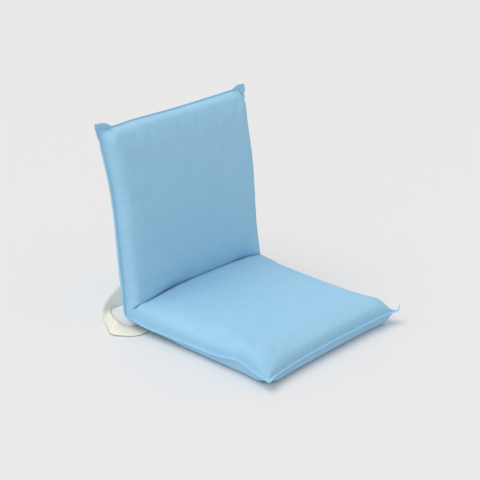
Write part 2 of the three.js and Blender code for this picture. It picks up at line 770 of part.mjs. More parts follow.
for (const [side, name] of [[-1, 'right'], [1, 'left']]) {
  const seatX = -side * frame_half_width;
  const backX = side * frame_half_width;
  put(named(`ratchet_plate_${name}`, ratchetPlate(), plated_steel), seatGroup, seatX);
  put(named(`seat_arm_rivet_${name}`, armRivet(), plated_steel), seatGroup, seatX);
  put(named(`pivot_rivet_${name}`, pivotRivet(), plated_steel), seatGroup, seatX);
  put(named(`cheek_outer_${name}`, cheek(side), plated_steel), backGroup, backX);
  put(named(`cheek_inner_${name}`, cheek(-side), plated_steel), backGroup, backX);
  put(named(`back_arm_rivet_${name}`, armRivet(), plated_steel), backGroup, backX);
  put(named(`pawl_${name}`, pawl(), plated_steel), backGroup, backX);
  put(named(`pawl_pin_${name}`, pawlPin(), plated_steel), backGroup, backX);
  put(named(`spring_pin_${name}`, springPin(), plated_steel), backGroup, backX);
  put(named(`pawl_spring_${name}`, pawlSpring(), spring_steel), backGroup, backX);
}

const chair = new THREE.Group();
chair.add(seatGroup, backGroup);
chair.add(named('cover_crease', coverCrease(), blue_cloth));
chair.add(named('cover_hinge_wrap', coverWrap(), blue_cloth));
chair.add(named('carry_strap', carryStrap(), webbing));

export default chair;
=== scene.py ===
"""Folding floor chair: two padded panels in one light-blue cloth cover, folding at a ratchet hinge."""
import bpy
import numpy as np
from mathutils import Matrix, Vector


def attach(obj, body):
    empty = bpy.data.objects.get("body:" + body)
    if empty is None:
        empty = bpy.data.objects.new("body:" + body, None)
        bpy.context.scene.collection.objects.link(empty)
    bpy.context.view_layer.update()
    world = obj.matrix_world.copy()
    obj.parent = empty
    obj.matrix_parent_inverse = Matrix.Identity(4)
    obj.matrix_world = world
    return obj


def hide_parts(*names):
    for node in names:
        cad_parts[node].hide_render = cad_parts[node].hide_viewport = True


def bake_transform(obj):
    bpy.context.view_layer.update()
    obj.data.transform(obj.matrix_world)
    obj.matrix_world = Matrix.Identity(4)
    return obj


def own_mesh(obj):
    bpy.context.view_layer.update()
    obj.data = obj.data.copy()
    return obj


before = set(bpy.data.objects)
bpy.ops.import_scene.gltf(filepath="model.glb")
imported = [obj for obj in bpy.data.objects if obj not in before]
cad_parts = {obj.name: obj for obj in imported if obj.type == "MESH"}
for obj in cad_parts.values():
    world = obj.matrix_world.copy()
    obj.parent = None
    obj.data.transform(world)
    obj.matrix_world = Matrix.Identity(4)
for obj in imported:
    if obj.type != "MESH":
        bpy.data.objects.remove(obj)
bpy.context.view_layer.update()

# ------------------------------------------------------------
# Cloth cover: one bag of light-blue nylon, cut as a front and a rear sheet and sewn together all
# round with a 7 mm edge seam. A fold across it between the two pads lets the back recline.
# The sides pull in between the corners, and the corners, which no foam fills, stand out as ears.
# ------------------------------------------------------------
seat_length = 0.410
back_length = 0.420
half_width = 0.210
seam_height = 0.027
pivot_rise = 0.020
rest_angle = np.radians(97.5)
half_opening = rest_angle / 2
corner_run = pivot_rise / np.tan(half_opening)
seam_flange = 0.007
seam_half_thickness = 0.0006
corner_round = 0.014
wrap_depth = 0.0255
wrap_fade = 0.05
slack_reach = 0.045
bow_start = 0.0775
front_corner_power = 1.8
rear_corner_power = 1.3
bulge_start, bulge_fade = 0.9, 1.2

half_arc = (np.pi - rest_angle) / 2
seam_corner = np.array([seat_length / 2, seam_height])
bisector = np.array([-np.cos(half_opening), np.sin(half_opening)])

# The grid: its step, the steps over the flange, the nose and the slot, the length that the nose
# takes of a pad, and the rolled edge's run and height that the columns and rows are spread over
grid_step = 0.0065
flange_steps = 4
nose_steps = 8
slot_steps = 3
nose_room = 0.05
front_spacing = (0.022, 0.034)
rear_spacing = (0.018, 0.027)

# The fold between the pads: a slot whose wall leans back between the hinges. A pair gives where
# along the fold a change starts or has its middle, and how wide it is.
slot_half = 0.0004
slot_depth = 0.014
slot_extra = 0.0018
slot_extra_shares = ((-0.36, 0.45), (0.66, 0.2))
lean_angle = np.radians(65.6)
lean_left = (-0.185, 0.130)
lean_right = (0.196, 0.045)
nose_radius = 0.013
nose_tightening = 0.008
nose_tight_end = (0.168, 0.016)
fold_side_run = 0.016
fold_side_fade = 0.08
fold_edge_run = 0.012
fold_from_end = 0.3
foot_room = 0.001
foot_front = 0.0006
foot_rear = 0.0001

# Corners: where the flange turns full width before an ear, how far out an ear's lift is whole, its
# puckers, which fan out from a centre, and the curl of the seat's front right tip. no_ear stands
# for an end that is too far off to have one.
ear_lead, ear_lead_width = 0.06, 0.08
ear_lift_reach = 0.018
pucker_centre = 0.012
pucker_turns, pucker_shift = 9, 0.6
pucker_start, pucker_fade = 0.001, 0.008
curl_start = 1.3 * seam_flange
curl_radius = 0.0045
curl_turn = np.radians(78)
no_ear = 9.0

# Outlines: half widths at places from the seam's corner, left and right, and the end seam's place
# at shares of the half width. Lifts are how far the slack seam stands above its plain height.
# Runs are how far in from a seam the pad is full. An ear, given left and right, is how far a corner
# stands out along the pad at its inner and outer side, and across. Start and width are where it
# begins on the end, drop and run where it begins on the side, and lift how far it is turned up.
seat_pad = {
    "run": seat_length, "crown": 0.0345, "dome": 0.0035, "dome_at_fold": 1.0, "bow": 0.0, "rear": 0.0262,
    "side_run": 0.028, "end_run": 0.038, "end_power": 2.4, "corner_tapers": (0.040, 0.032), "end_flange": 0.007,
    "rear_runs": np.array([0.075, 0.072, 0.045, 0.018, 0.014, 0.014]),
    "rear_run_places": np.array([0.0, 0.05, 0.11, 0.16, 0.30, 0.41]),
    "rear_end_run": 0.008, "rear_corner_tapers": (0.036, 0.022), "bulge": 0.005,
    "places": np.array([0.0, 0.05, 0.10, 0.20, 0.30, 0.36, 0.385, 0.400, 0.415]),
    "left": np.array([0.209, 0.206, 0.202, 0.199, 0.200, 0.202, 0.203, 0.2035, 0.204]),
    "right": np.array([0.209, 0.206, 0.203, 0.200, 0.200, 0.203, 0.210, 0.217, 0.222]),
    "shares": np.array([-1.0, -0.94, -0.85, -0.6, -0.3, 0.0, 0.6, 0.85, 0.94, 1.0]),
    "ends": np.array([0.4115, 0.409, 0.4055, 0.401, 0.399, 0.398, 0.398, 0.401, 0.407, 0.414]),
    "lift_places": np.array([0.0, 0.04, 0.083, 0.167, 0.25, 0.285, 0.315, 0.335, 0.36, 0.385, 0.41]),
    "lift_left": np.array([0, -3, -6, -5, -4, 0, 9, 7, 0, -3, -5]) * 0.001,
    "lift_right": np.array([0, 0, 0, 0, 0, 0, 0, 0, 0, 1, 2]) * 0.001,
    "lift_ends": np.array([-5, -5, -4, -3, -1, 0, 0, 1, 2, 2]) * 0.001,
    "ears": {"inner": (0.003, 0.002), "outer": (0.004, 0.008), "out": (0.003, 0.007), "start": (0.90, 0.95),
             "width": (0.06, 0.05), "drop": (0.020, 0.012), "run": (0.020, 0.010), "lift": (0.0, 0.0)},
    "pucker": 0.0,
    "along": np.array([-1.0, 0.0]), "up": np.array([0.0, 1.0])}
back_pad = {
    "run": back_length, "crown": 0.0335, "dome": 0.002, "dome_at_fold": 0.0, "bow": 0.008, "rear": 0.0285,
    "side_run": 0.017, "end_run": 0.037, "end_power": 2.3, "corner_tapers": (0.024, 0.024), "end_flange": 0.0045,
    "rear_runs": np.array([0.024, 0.024]), "rear_run_places": np.array([0.0, 0.42]),
    "rear_end_run": 0.022, "rear_corner_tapers": (0.040, 0.040), "bulge": 0.0,
    "places": np.array([0.0, 0.05, 0.10, 0.20, 0.30, 0.36, 0.385, 0.400, 0.420]),
    "left": np.array([0.209, 0.204, 0.203, 0.205, 0.207, 0.211, 0.215, 0.217, 0.217]),
    "right": np.array([0.209, 0.207, 0.206, 0.205, 0.205, 0.206, 0.2075, 0.209, 0.213]),
    "shares": np.array([-1.0, -0.9, -0.8, -0.7, -0.6, 0.0, 0.6, 0.8, 0.9, 1.0]),
    "ends": np.array([0.411, 0.411, 0.410, 0.4095, 0.4125, 0.412, 0.415, 0.4165, 0.417, 0.417]),
    "lift_places": np.array([0.0, 0.42]), "lift_left": np.zeros(2), "lift_right": np.zeros(2),
    "lift_ends": np.array([0, 0, 0, -3, 0, 0, 0, 0, 0, 0]) * 0.001,
    "ears": {"inner": (0.0085, 0.0105), "outer": (0.0140, 0.0070), "out": (0.006, 0.010), "start": (0.82, 0.895),
             "width": (0.06, 0.02), "drop": (0.024, 0.042), "run": (0.016, 0.016), "lift": (0.003, 0.004)},
    "pucker": 0.0022,
    "along": np.array([-np.cos(rest_angle), np.sin(rest_angle)]),
    "up": np.array([-np.sin(rest_angle), -np.cos(rest_angle)])}


def smooth(share):
    """A smooth step: nothing up to 0 and one from 1 on, along three squares less two cubes."""
    share = np.clip(share, 0, 1)
    return share * share * (3 - 2 * share)


def soft_curve(value, places, sizes):
    """Sizes between the table's places, averaged over a short stretch so that no corner shows."""
    near = (places[-1] - places[0]) / 30
    return sum(np.interp(value + step * near, places, sizes) for step in (-1, -0.5, 0, 0.5, 1)) / 5


def roll(distance, run, power=2.3):
    """A rounded edge: nothing at the seam and one where the pad is full, along a superellipse."""
    left = 1 - np.clip(distance / run, 0, 1)
    return (1 - left ** power) ** (1 / power)


def even_shares(length, run, height, count):
    """Shares of a length that lie evenly along the curve of a pad's face over its rolled edge."""
    distance = length * (1 - np.cos(np.linspace(0, np.pi / 2, 4000)))
    travel = np.hypot(np.diff(distance), np.diff(height * roll(distance, run)))
    travel = np.concatenate([[0], np.cumsum(travel)])
    return np.interp(np.linspace(0, travel[-1], count + 1), travel, distance) / length


def column_set(run, height):
    """Columns from edge to edge: how much of the flange lies outside each, how far in it lies from
    the seam to the middle, its side, and its share of the half width."""
    count = int(round(half_width / grid_step))
    inner = even_shares(half_width - seam_flange, run, height, count)
    steps = np.linspace(0, 1, flange_steps + 1)
    flange = np.concatenate([steps, np.ones(2 * count - 1), steps[::-1]])
    inward = np.concatenate([np.zeros(flange_steps), inner, inner[-2::-1], np.zeros(flange_steps)])
    side = np.concatenate([-np.ones(flange_steps + count), [0.0], np.ones(flange_steps + count)])
    return flange, inward, side, side * (1 - seam_flange / half_width * flange) * (1 - inward)


def by_side(side, left, right):
    """The left value where the side is negative, and the right one elsewhere."""
    return np.where(side < 0, left, right)


def across(pad, cols, place, end):
    """x of every column at a place from the corner, with the seam's own half width there: along
    the flange from the outer edge to the seam, and then in to the middle."""
    flange, inward, side, _ = cols
    width = by_side(side, soft_curve(place, pad["places"], pad["left"]),
                    soft_curve(place, pad["places"], pad["right"]))
    out, drop, run = [by_side(side, *pad["ears"][size]) for size in ("out", "drop", "run")]
    outer = width + out * smooth((place - end + drop) / run)
    seam = width - seam_flange
    return side * np.where(flange < 1, outer - (outer - seam) * flange, seam * (1 - inward)), seam


def beside_bisector(pad):
    """The direction square to the bisector on a pad's side."""
    beside = pad["along"] - bisector * (pad["along"] @ bisector)
    return beside / np.linalg.norm(beside)


def seam_line(pad, length):
    """The seam at a length from the middle of its corner, in y and z, with its normal: an arc of
    corner_round about a centre on the bisector, and then a straight line that the arc touches."""
    centre = seam_corner + bisector * corner_round / np.sin(half_opening)
    turn = np.clip(length / corner_round, 0, half_arc)[..., None]
    normal = np.cos(turn) * bisector - np.sin(turn) * beside_bisector(pad)
    straight = np.maximum(length - half_arc * corner_round, 0)[..., None] * pad["along"]
    return centre - normal * corner_round + straight, normal


def fold_shape(share):
    """Along the fold: the angle of its wall from the seat, and how high up that wall the two pads
    meet, where the seat's nose touches both its face and the wall. Between the hinges the wall
    leans back, and the noses are tighter there and at the ends."""
    x = share * half_width
    lean = smooth((x - lean_left[0]) / lean_left[1]) * smooth((lean_right[0] - x) / lean_right[1])
    wall = half_opening + (lean_angle - half_opening) * lean
    height = seat_pad["crown"] + seat_pad["dome"] * (1 - share ** 2)
    tight = np.maximum(lean, smooth((np.abs(x) - nose_tight_end[0]) / nose_tight_end[1]))
    nose = nose_radius - nose_tightening * tight
    return wall, (height - nose + (slot_half + nose) * np.cos(wall)) / np.sin(wall)


def bow_height(pad, place):
    """How far the bent frame bows a pad forward: a squared sine from bow_start to the pad's end."""
    return pad["bow"] * np.sin(np.pi * np.clip((place - bow_start) / (pad["run"] - bow_start), 0, 1)) ** 2


def rear_depth(pad, place):
    """Depth of the rear face: the wrap's own at the fold, the pad's from wrap_fade on, and in a
    straight line between."""
    return wrap_depth + (pad["rear"] - wrap_depth) * np.clip(place / wrap_fade, 0, 1)


def corner_taper(reach, side, tapers, power):
    """A pad's corner: nothing at the seam's corner and one from the side's taper on, by a power."""
    return 1 - (1 - np.clip(reach / by_side(side, *tapers), 0, 1)) ** power


def seam_lift(pad, share, side, place, side_distance, end_distance):
    """How far the slack seam stands up, fading away over slack_reach from each seam. Where a side
    and an end meet, it is the mean of the two."""
    beside = by_side(side, soft_curve(place, pad["lift_places"], pad["lift_left"]),
                     soft_curve(place, pad["lift_places"], pad["lift_right"]))
    at_end = soft_curve(share, pad["shares"], pad["lift_ends"])
    near_side = 1 - smooth(side_distance / slack_reach)
    near_end = 1 - smooth(end_distance / slack_reach)
    return (beside * near_side + at_end * near_end) / np.maximum(near_side + near_end, 1)


def pad_point(pad, place, height):
    """y and z of a place along a pad at a height over its seam."""
    return seam_corner + place[..., None] * pad["along"] + height[..., None] * pad["up"]


def nose_shape(pad, share):
    """A pad's nose at the fold, an arc that touches its face and the fold's wall: the wall's angle
    from the pad, how far up the wall it ends, half the slot, its radius and its place on the face."""
    wall, meet = fold_shape(share)
    parted = np.maximum(*[smooth(1 - np.abs(share - middle) / reach) for middle, reach in slot_extra_shares])
    gap = slot_half + slot_extra * parted
    angle = wall if pad is seat_pad else rest_angle - wall
    face = pad["crown"] + pad["dome"] * pad["dome_at_fold"] * (1 - share ** 2)
    nose = (face - meet * np.sin(angle) + gap * np.cos(angle)) / (1 - np.cos(angle))
    return angle, meet, gap, nose, meet * np.cos(angle) + (gap + nose) * np.sin(angle)


def fold_sheet(pad, cols, front):
    """Rows from the nose's place to the fold's foot, with each point's distance in from the side
    seam and its place along the pad. In front they go over the nose and down the wall, and behind
    round the fold in an arc of the wrap's depth. At the sides they fall to the seam's line."""
    share = cols[3]
    angle, meet, gap, nose, nose_place = nose_shape(pad, share)
    swing = np.linspace(0, 1, nose_steps + 1)[:, None] * angle
    down = np.linspace(0, 1, slot_steps + 1)[1:, None] * slot_depth
    beside_wall = np.concatenate([gap + nose - nose * np.cos(angle - swing), gap + 0 * (down + meet)])
    up_wall = np.concatenate([meet + nose * np.sin(angle - swing), meet - down])
    fold_place = up_wall * np.cos(angle) + beside_wall * np.sin(angle)
    fold_height = up_wall * np.sin(angle) - beside_wall * np.cos(angle)
    travel = np.hypot(np.diff(fold_place, axis=0), np.diff(fold_height, axis=0))
    travel = np.concatenate([np.zeros((1, len(share))), np.cumsum(travel, 0)])
    left = 1 - travel / (travel[-1] + foot_room)
    near_fold = nose_place * left
    line_end = nose_place - corner_round / np.tan(half_opening) + half_arc * corner_round
    seam, normal = seam_line(pad, line_end * left)
    fold_x, fold_seam_x = across(pad, cols, near_fold, no_ear)
    fold_side = fold_seam_x - np.abs(fold_x)
    if front:
        base = seam + seam_half_thickness * normal
        full_yz = pad_point(pad, fold_place, fold_height)
        blend = roll(fold_side, fold_edge_run)
    else:
        base = seam - seam_half_thickness * normal
        wrap_at = (nose_place + wrap_depth * half_arc) * left
        straight = np.maximum(wrap_at - wrap_depth * half_arc, 0)
        turn = np.minimum(wrap_at / wrap_depth, half_arc)[..., None]
        outward = -np.cos(turn) * bisector + np.sin(turn) * beside_bisector(pad)
        depth = rear_depth(pad, straight)[..., None]
        full_yz = seam_corner + straight[..., None] * pad["along"] + depth * outward
        run = soft_curve(near_fold, seat_pad["rear_run_places"], seat_pad["rear_runs"])
        if pad is back_pad:
            run = run[-1:] + (pad["rear_runs"][0] - run[-1:]) * smooth(near_fold / nose_place)
        blend = roll(fold_side, run)
    fold_yz = base + blend[..., None] * (full_yz - base)
    return np.concatenate([fold_x[..., None], fold_yz], -1), fold_side, near_fold


def pad_sheet(pad, cols, front):
    """Front or rear sheet of one pad, rows by columns of x, y, z, from the end seam to the fold,
    with each point's distance from the outer side edge and from the outer end edge, and its place
    along the pad. Rows lie over the ear or flange, evenly over the rolled end to the nose, and then
    in the fold. Height over the seam is the pad's face times the rolls of the side, the end and the
    corner, and the slack seam's and the ear's own lift."""
    side, share = cols[2:]
    nose_place = nose_shape(pad, share)[-1]
    ear = {size: by_side(side, *pair) for size, pair in pad["ears"].items()}
    end = soft_curve(share, pad["shares"], pad["ends"])
    past = np.abs(share) - ear["start"]
    on_ear = smooth(past / ear["width"])
    beyond = np.clip(past / (1 - ear["start"]), 0, 1)
    tip = end + (ear["inner"] + (ear["outer"] - ear["inner"]) * beyond) * on_ear
    corner = smooth((past + ear_lead) / ear_lead_width)
    seam_end = end - pad["end_flange"] - (seam_flange - pad["end_flange"]) * corner
    count = int(round(pad["run"] / grid_step))
    run = pad["end_run"] if front else 0.5 * pad["rear_end_run"] + 0.01
    rise = front_spacing[1] if front else rear_spacing[1]
    shares = even_shares(pad["run"] - nose_room, run, rise, count)[:-1, None]
    steps = np.linspace(0, 1, flange_steps + 1)[:-1, None]
    place = np.concatenate([tip - (tip - seam_end) * steps, seam_end - (seam_end - nose_place) * shares])
    x, seam_x = across(pad, cols, place, end)
    side_distance = seam_x - np.abs(x)
    end_distance = seam_end - place
    bow = bow_height(pad, place)
    reach = np.hypot(np.maximum(side_distance, 0), np.maximum(end_distance, 0))
    lift = seam_lift(pad, share, side, place, side_distance, end_distance)
    in_ear = on_ear * smooth((place - end + ear["drop"]) / ear["run"])
    outside = np.hypot(np.minimum(side_distance, 0), np.minimum(end_distance, 0))
    fan = np.arctan2(side_distance - pucker_centre, end_distance - pucker_centre)
    away = smooth((np.hypot(side_distance, end_distance) - pucker_start) / pucker_fade)
    pucker = pad["pucker"] * np.sin(pucker_turns * fan + pucker_shift) * away
    lift = lift + in_ear * (ear["lift"] * smooth(outside / ear_lift_reach) + pucker)
    if front:
        along = np.clip((place - nose_place) / (pad["run"] - nose_place), 0, 1)
        doming = np.cos(np.pi / 2 * along) if pad is seat_pad else np.sin(np.pi * along)
        crown = pad["crown"] + pad["dome"] * (1 - share ** 2) * doming
        fade = smooth((place - nose_place) / fold_side_fade)
        side_run = fold_side_run + (pad["side_run"] - fold_side_run) * fade
        rise = roll(side_distance, side_run) * roll(end_distance, pad["end_run"], pad["end_power"])
        taper = corner_taper(reach, side, pad["corner_tapers"], front_corner_power)
        height = bow + seam_half_thickness + crown * rise * taper + lift
    else:
        full = rear_depth(pad, place)
        side_run = soft_curve(place, pad["rear_run_places"], pad["rear_runs"])
        end_roll = roll(end_distance, pad["rear_end_run"])
        taper = corner_taper(reach, side, pad["rear_corner_tapers"], rear_corner_power)
        depth = roll(side_distance, side_run) * end_roll * taper
        bulge = pad["bulge"] * smooth((bulge_start - share) / bulge_fade)
        place = place + bulge * np.sin(np.pi * end_roll) * taper
        height = bow - seam_half_thickness - (full + lift) * depth + lift
    points = np.concatenate([x[..., None], pad_point(pad, place, height)], -1)
    fold_points, fold_side, near_fold = [rows[1:] for rows in fold_sheet(pad, cols, front)]
    from_side = np.concatenate([seam_flange + side_distance, seam_flange + fold_side])
    from_end = np.concatenate([pad["end_flange"] + end_distance, np.full_like(fold_side, fold_from_end)])
    return np.concatenate([points, fold_points]), from_side, from_end, np.concatenate([place, near_fold])


def curl(points, corner, radius, turn, direction, up):
    """Bends what lies beyond a corner round an arc, up to a turn, and straight on from there."""
    beyond = np.maximum((points - corner) @ direction, 0)
    arc = np.minimum(beyond / radius, turn)
    rest = beyond - arc * radius
    moved = radius * np.sin(arc) + rest * np.cos(turn) - beyond
    risen = radius * (1 - np.cos(arc)) + rest * np.sin(turn)
    return points + moved[..., None] * direction + risen[..., None] * up


def cover_sheet(front):
    """Both pads' sheets on one side with the fold's foot between them, from end seam to end seam.
    The seat's front right tip is curled up along its diagonal."""
    cols = column_set(*(front_spacing if front else rear_spacing))
    seat, seat_side, seat_end, seat_place = pad_sheet(seat_pad, cols, front)
    back, back_side, back_end, back_place = pad_sheet(back_pad, cols, front)
    corner = np.array([seat_pad["right"][-1] - curl_start,
                       seam_corner[0] - seat_pad["ends"][-1] + curl_start, seam_height])
    diagonal = np.array([1.0, -1.0, 0.0]) / np.sqrt(2)
    seat = curl(seat, corner, curl_radius, curl_turn, diagonal, np.array([0.0, 0.0, 1.0]))
    foot = (seat[-1] + back[-1]) / 2
    foot[:, 1:] -= bisector * (foot_front if front else foot_rear)
    join = lambda a, b, c: np.concatenate([a, b, c[::-1]])
    return (join(seat, foot[None], back), join(seat_side, (seat_side[-1:] + back_side[-1:]) / 2, back_side),
            join(seat_end, seat_end[-1:], back_end), join(-seat_place, 0 * seat_place[-1:], back_place), cols[3])


def grid_faces(grid):
    """The faces of a grid of points: quads, and at its four corners two triangles that share the
    line from the corner point to the inner one, so that no line inside joins two rim points."""
    cells = np.stack([grid[:-1, :-1], grid[:-1, 1:], grid[1:, 1:], grid[1:, :-1]], -1)
    corner_cells = ((0, 0), 0), ((0, -1), 1), ((-1, -1), 2), ((-1, 0), 3)
    corners = [np.roll(cells[at], -first) for at, first in corner_cells]
    plain = np.ones(cells.shape[:2], bool)
    plain[[0, 0, -1, -1], [0, -1, 0, -1]] = False
    return cells[plain].tolist() + [cell[part].tolist() for cell in corners for part in ([0, 1, 2], [0, 2, 3])]


def rim_mask(grid):
    """True for the points on a grid's rim."""
    on_rim = np.zeros(grid.shape[:2], bool)
    on_rim[[0, -1], :] = True
    on_rim[:, [0, -1]] = True
    return on_rim


def bag_mesh(name, front, rear, front_uv, rear_uv, marks):
    """A closed bag of two grids that share their rim: rear points on the rim are the front's own.
    Each point keeps its place on the flat cloth as UV and the named distances as attributes."""
    rows, cols = front.shape[:2]
    at = np.arange(rows * cols).reshape(rows, cols)
    on_rim = rim_mask(front)
    behind = np.where(on_rim, at, 0)
    behind[~on_rim] = rows * cols + np.arange((~on_rim).sum())
    points = np.concatenate([front.reshape(-1, 3), rear[~on_rim]])
    mesh = bpy.data.meshes.new(name)
    mesh.from_pydata(points, [], grid_faces(at) + [face[::-1] for face in grid_faces(behind)])
    flat = np.concatenate([front_uv.reshape(-1, 2), rear_uv[~on_rim]])
    corners = np.zeros(len(mesh.loops), np.int32)
    mesh.loops.foreach_get("vertex_index", corners)
    mesh.uv_layers.new(name="cloth").data.foreach_set("uv", flat[corners].ravel())
    for label, (on_front, on_rear) in marks.items():
        values = np.concatenate([on_front.ravel(), on_rear[~on_rim]])
        mesh.attributes.new(label, "FLOAT", "POINT").data.foreach_set("value", values.astype(np.float32))
    mesh.update()
    return mesh


def new_piece(name, data):
    """An object with its mesh, lamp or camera, placed in the scene. A mesh is shaded smooth."""
    piece = bpy.data.objects.new(name, data)
    bpy.context.scene.collection.objects.link(piece)
    if isinstance(data, bpy.types.Mesh):
        data.shade_smooth()
    return piece


front, front_side, front_end, front_place, front_share = cover_sheet(True)
rear, rear_side, rear_end, rear_place, rear_share = cover_sheet(False)
rim = (front + rear) / 2
for edge in (np.s_[0, :], np.s_[-1, :], np.s_[:, 0], np.s_[:, -1]):
    front[edge] = rim[edge]
    rear[edge] = rim[edge]
front_flat, rear_flat = [np.stack([share * half_width + 0 * place, place], -1)
                         for share, place in ((front_share, front_place), (rear_share, rear_place))]
cover_mesh = bag_mesh("cloth_cover", front, rear, front_flat, rear_flat,
                      {"from_side": (front_side, rear_side), "from_end": (front_end, rear_end)})
cloth_cover = new_piece("cloth_cover", cover_mesh)


def settle(piece, held, pressure, growth, swell_cap, crumple_cap, radius, frames):
    """Blows the sewn bag up as loose cloth and applies the result. Held points stay. The cloth's own
    crumples are kept up to their cap, and the broad swell, its mean over near points, up to its own."""
    mesh = piece.data
    count = len(mesh.vertices)
    start = np.zeros(count * 3)
    mesh.vertices.foreach_get("co", start)
    start = start.reshape(-1, 3)
    group = piece.vertex_groups.new(name="held")
    for weight in np.unique(held.round(1)):
        if weight > 0:
            group.add(np.flatnonzero(held.round(1) == weight).tolist(), float(weight), "REPLACE")
    loose = piece.modifiers.new("loose_cloth", "CLOTH")
    for label, value in {"quality": 6, "mass": 0.15, "tension_stiffness": 25, "compression_stiffness": 15,
                         "shear_stiffness": 8, "bending_stiffness": 0.05, "air_damping": 4,
                         "shrink_min": -growth, "vertex_group_mass": "held", "use_pressure": True,
                         "uniform_pressure_force": pressure}.items():
        setattr(loose.settings, label, value)
    loose.settings.effector_weights.gravity = 0
    loose.collision_settings.use_collision = False
    for number in range(1, frames + 1):
        bpy.context.scene.frame_set(number)
    settled = piece.evaluated_get(bpy.context.evaluated_depsgraph_get())
    moved = np.zeros(count * 3)
    settled.data.vertices.foreach_get("co", moved)
    moved = moved.reshape(-1, 3) - start
    piece.modifiers.remove(loose)
    piece.vertex_groups.remove(group)
    bpy.context.scene.frame_set(1)
    edges = np.zeros(len(mesh.edges) * 2, np.int64)
    mesh.edges.foreach_get("vertices", edges)
    first, second = edges.reshape(-1, 2).T
    links = np.bincount(edges, minlength=count)[:, None]
    swell = moved
    for _ in range(radius):
        total = np.stack([np.bincount(first, swell[second, k], count)
                          + np.bincount(second, swell[first, k], count) for k in range(3)], -1)
        swell = (swell + total / links) / 2
    cap = lambda move, most: move / np.sqrt(1 + ((move ** 2).sum(1) / most ** 2))[:, None]
    kept = cap(moved - swell, crumple_cap) + cap(swell, swell_cap)
    mesh.vertices.foreach_set("co", (start + kept * (1 - held[:, None])).ravel())
    mesh.update()


held_at_seam, held_seam_fade = 0.007, 0.010
held_at_fold, held_fold_fade = 0.052, 0.03


def held_share(from_side, from_end, place):
    """How firmly a point is held: wholly in the seam's stitches and beside the fold, and less by a
    smooth step further off."""
    at_seam = 1 - smooth((np.minimum(from_side, from_end) - held_at_seam) / held_seam_fade)
    return np.maximum(at_seam, 1 - smooth((np.abs(place) - held_at_fold) / held_fold_fade))


held_front = held_share(front_side, front_end, front_place)
held_rear = np.where(rear_place < 0, 1.0, held_share(rear_side, rear_end, rear_place))
held = np.concatenate([held_front.ravel(), held_rear[~rim_mask(front)]])
settle(cloth_cover, held, pressure=4.0, growth=0.006, swell_cap=0.0015, crumple_cap=0.0025,
       radius=12, frames=20)
finer = cloth_cover.modifiers.new("finer", "SUBSURF")
finer.levels = 1
finer.render_levels = 1


def node_group(name, inputs, outputs):
    """A new shader node group, with the sockets that its inputs and outputs give inside it."""
    group = bpy.data.node_groups.new(name, "ShaderNodeTree")
    for kind, label in inputs:
        group.interface.new_socket(label, in_out="INPUT", socket_type=kind)
    for kind, label in outputs:
        group.interface.new_socket(label, in_out="OUTPUT", socket_type=kind)
    return group, group.nodes.new("NodeGroupInput").outputs, group.nodes.new("NodeGroupOutput").inputs


def add_node(tree, kind, inputs, **settings):
    """A node in a tree with its settings, each input either a value or another node's output."""
    node = tree.nodes.new(kind)
    for label, value in settings.items():
        setattr(node, label, value)
    for label, value in inputs.items():
        if isinstance(value, bpy.types.NodeSocket):
            tree.links.new(value, node.inputs[label])
        else:
            node.inputs[label].default_value = value
    return node


def sum_of(tree, operation, first, second=0.0, third=0.0):
    """One step of arithmetic in a node tree."""
    return add_node(tree, "ShaderNodeMath", {0: first, 1: second, 2: third}, operation=operation).outputs[0]


def ramp(tree, value, low, high, from_value=0.0, to_value=1.0):
    """A value's smooth step from low to high, between two values."""
    node = add_node(tree, "ShaderNodeMapRange", {"Value": value, "From Min": low, "From Max": high,
                                                 "To Min": from_value, "To Max": to_value})
    node.interpolation_type = "SMOOTHSTEP"
    return node.outputs[0]


def noise(tree, place, scale, detail, distortion=0.0):
    """Soft irregular patches over a place."""
    return add_node(tree, "ShaderNodeTexNoise", {"Vector": place, "Scale": scale, "Detail": detail,
                                                 "Distortion": distortion}).outputs[0]


def mix_colours(tree, share, first, second):
    """A colour between two, by a share."""
    return add_node(tree, "ShaderNodeMix", {0: share, 6: first, 7: second}, data_type="RGBA").outputs[2]


def plain_weave():
    """Height of a plain weave: threads along and across take turns on top, with uneven threads."""
    tree, given, result = node_group("plain_weave", [("NodeSocketVector", "Place"), ("NodeSocketFloat", "Pitch")],
                                     [("NodeSocketFloat", "Height"), ("NodeSocketFloat", "Mottle")])
    scaled = add_node(tree, "ShaderNodeVectorMath", {0: given["Place"],
                                                     "Scale": sum_of(tree, "DIVIDE", np.pi, given["Pitch"])},
                      operation="SCALE")
    axes = add_node(tree, "ShaderNodeSeparateXYZ", {0: scaled.outputs[0]})
    thread = sum_of(tree, "MULTIPLY", *[sum_of(tree, "SINE", axes.outputs[k]) for k in (0, 1)])
    uneven = sum_of(tree, "MULTIPLY", noise(tree, given["Place"], 900.0, 1.0), 0.5)
    tree.links.new(sum_of(tree, "ADD", sum_of(tree, "ABSOLUTE", thread), uneven), result["Height"])
    tree.links.new(noise(tree, given["Place"], 28.0, 3.0), result["Mottle"])
    return tree


